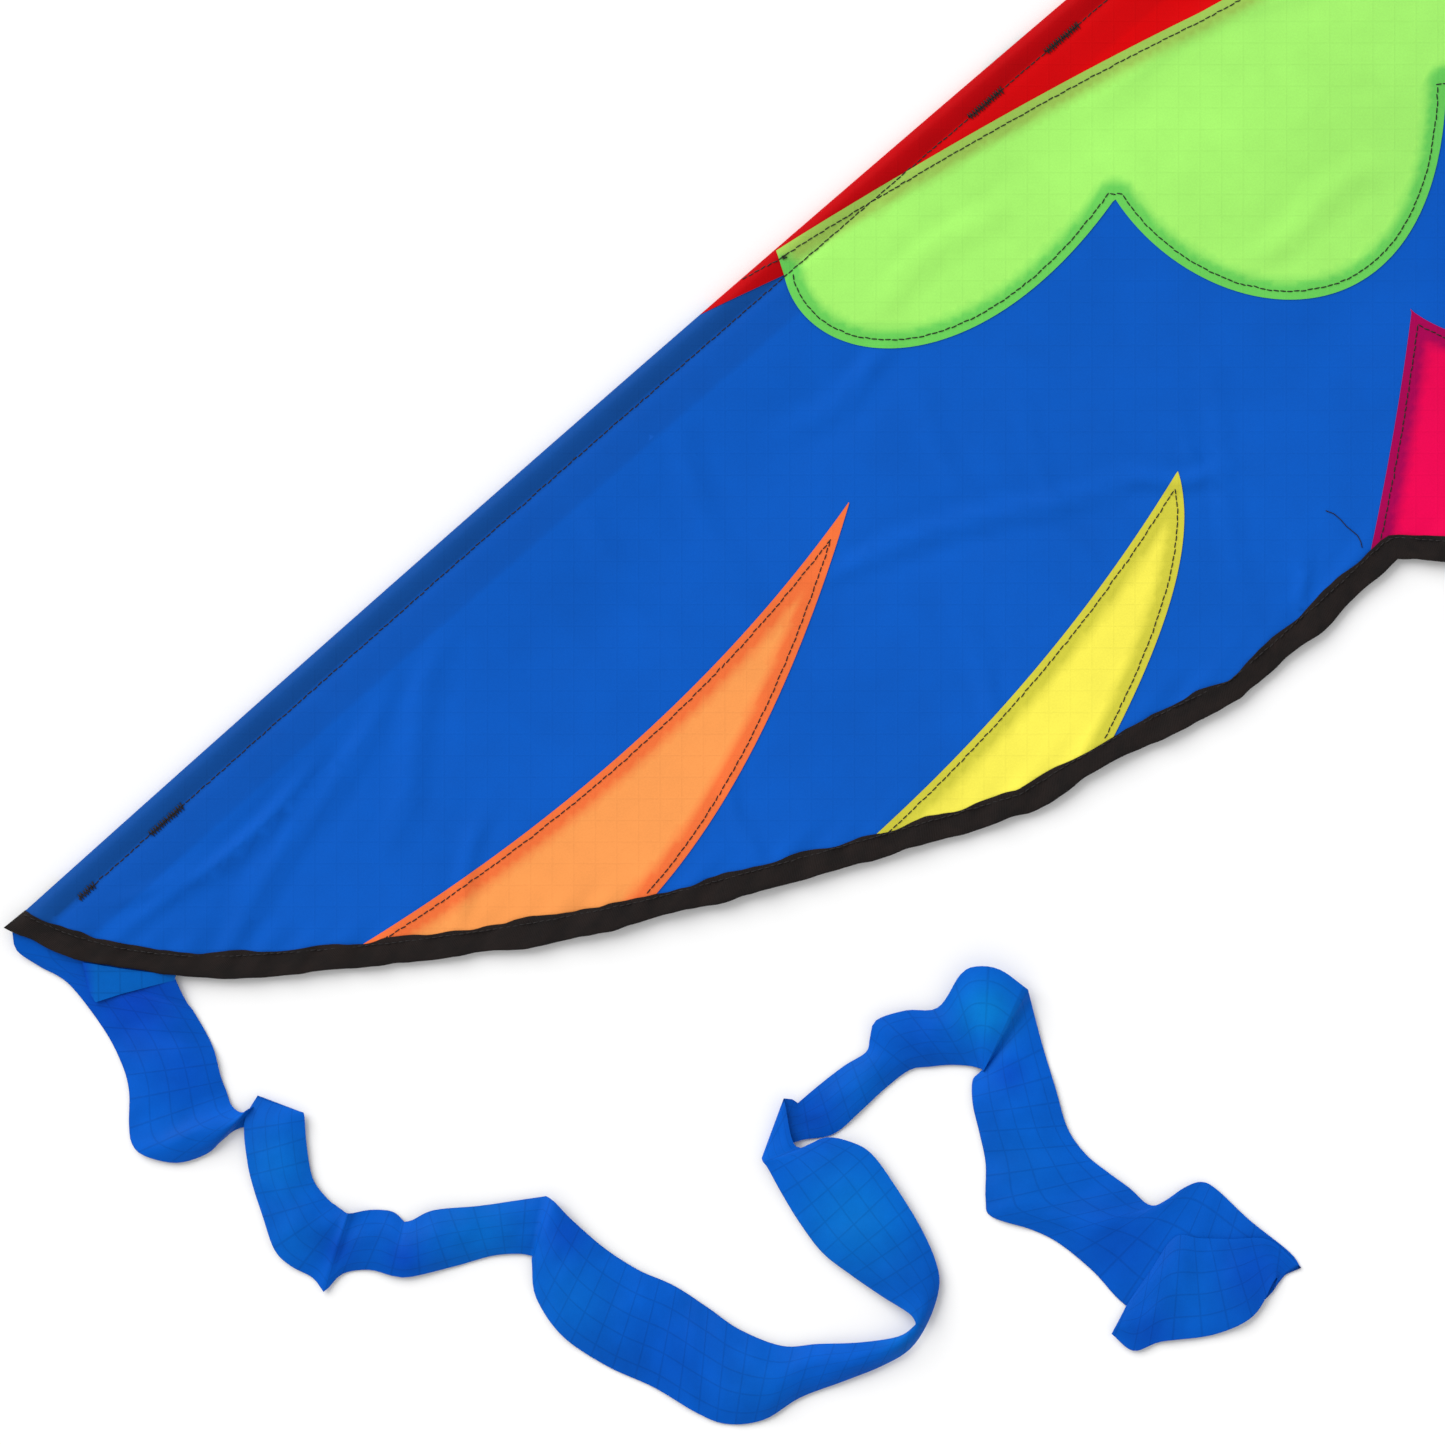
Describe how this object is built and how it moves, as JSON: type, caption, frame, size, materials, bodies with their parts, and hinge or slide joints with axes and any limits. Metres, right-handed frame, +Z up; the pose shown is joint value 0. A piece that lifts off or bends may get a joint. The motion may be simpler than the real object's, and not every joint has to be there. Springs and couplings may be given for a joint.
{
  "type": "delta kite",
  "caption": "Delta kite with scalloped ripstop panels, sleeved leading edge spars, spine, removable spreader, folding wings, swinging keel with tow eyelet and wing tip streamers.",
  "frame": {"origin": "bottom centre of the bounding box, on the floor the kite lies on, on the centre line", "axes": "+X towards the kite's right-hand wing as seen from above the printed side, +Y towards the nose, +Z up from the floor, out of the printed belly side"},
  "size_m": [1.6032, 0.9418, 0.1776],
  "materials": {
    "red_cloth": "satin",
    "green_cloth": "satin",
    "blue_cloth": "satin",
    "orange_cloth": "satin",
    "yellow_cloth": "satin",
    "pink_cloth": "satin",
    "streamer_cloth": "satin",
    "black_tape": "matte",
    "black_thread": "matte",
    "rod": "satin",
    "vinyl": "satin",
    "eyelet_metal": "satin"
  },
  "bodies": {
    "spine": {"spine_rod": "rod", "spine_plug_nose": "vinyl", "spine_plug_tail": "vinyl", "spine_pocket": "blue_cloth", "centre_red": "red_cloth", "centre_green": "green_cloth", "centre_blue": "blue_cloth", "centre_pink": "pink_cloth", "centre_tape": "black_tape", "nose_tape": "black_tape", "keel_seam": "black_tape"},
    "keel": {"keel_panel": "blue_cloth", "keel_tape": "black_tape", "tow_eyelet": "eyelet_metal"},
    "spreader": {"spreader_rod": "rod", "hook_left": "vinyl", "hook_right": "vinyl"},
    "wing_left": {"red_panel_left": "red_cloth", "green_band_left": "green_cloth", "blue_panel_left": "blue_cloth", "orange_feather_left": "orange_cloth", "yellow_feather_left": "yellow_cloth", "pink_tail_left": "pink_cloth", "sleeve_red_left": "red_cloth", "sleeve_blue_left": "blue_cloth", "spar_left": "rod", "spar_cap_inner_left": "vinyl", "spar_cap_tip_left": "vinyl", "tape_wing_left": "black_tape", "tape_tail_left": "black_tape", "bar_tacks_left": "black_thread"},
    "wing_right": {"red_panel_right": "red_cloth", "green_band_right": "green_cloth", "blue_panel_right": "blue_cloth", "orange_feather_right": "orange_cloth", "yellow_feather_right": "yellow_cloth", "pink_tail_right": "pink_cloth", "sleeve_red_right": "red_cloth", "sleeve_blue_right": "blue_cloth", "spar_right": "rod", "spar_cap_inner_right": "vinyl", "spar_cap_tip_right": "vinyl", "tape_wing_right": "black_tape", "tape_tail_right": "black_tape", "bar_tacks_right": "black_thread"},
    "tail_left": {"streamer_left": "streamer_cloth"},
    "tail_right": {"streamer_right": "streamer_cloth"}
  },
  "joints": [
    {"name": "wing_left_fold", "type": "hinge", "parent": "spine", "child": "wing_left", "pos_m": [-0.0124, 0, 0.00685], "axis": [0, 1, 0], "range_deg": [0, 85]},
    {"name": "wing_right_fold", "type": "hinge", "parent": "spine", "child": "wing_right", "pos_m": [0.0124, 0, 0.00685], "axis": [0, 1, 0], "range_deg": [-85, 0]},
    {"name": "keel_swing", "type": "hinge", "parent": "spine", "child": "keel", "pos_m": [0, 0, 0.0124], "axis": [0, 1, 0], "range_deg": [-88, 88]},
    {"name": "spreader_lift_off", "type": "slide", "parent": "spine", "child": "spreader", "axis": [0, 0, -1], "range_m": [0, 0.05]},
    {"name": "streamer_left_seam", "type": "hinge", "parent": "wing_left", "child": "tail_left", "pos_m": [-0.76, -0.2381, 0.00685], "axis": [-1, 0, 0], "range_deg": [0, 90]},
    {"name": "streamer_right_seam", "type": "hinge", "parent": "wing_right", "child": "tail_right", "pos_m": [0.76, -0.2381, 0.00685], "axis": [1, 0, 0], "range_deg": [-90, 0]}
  ]
}
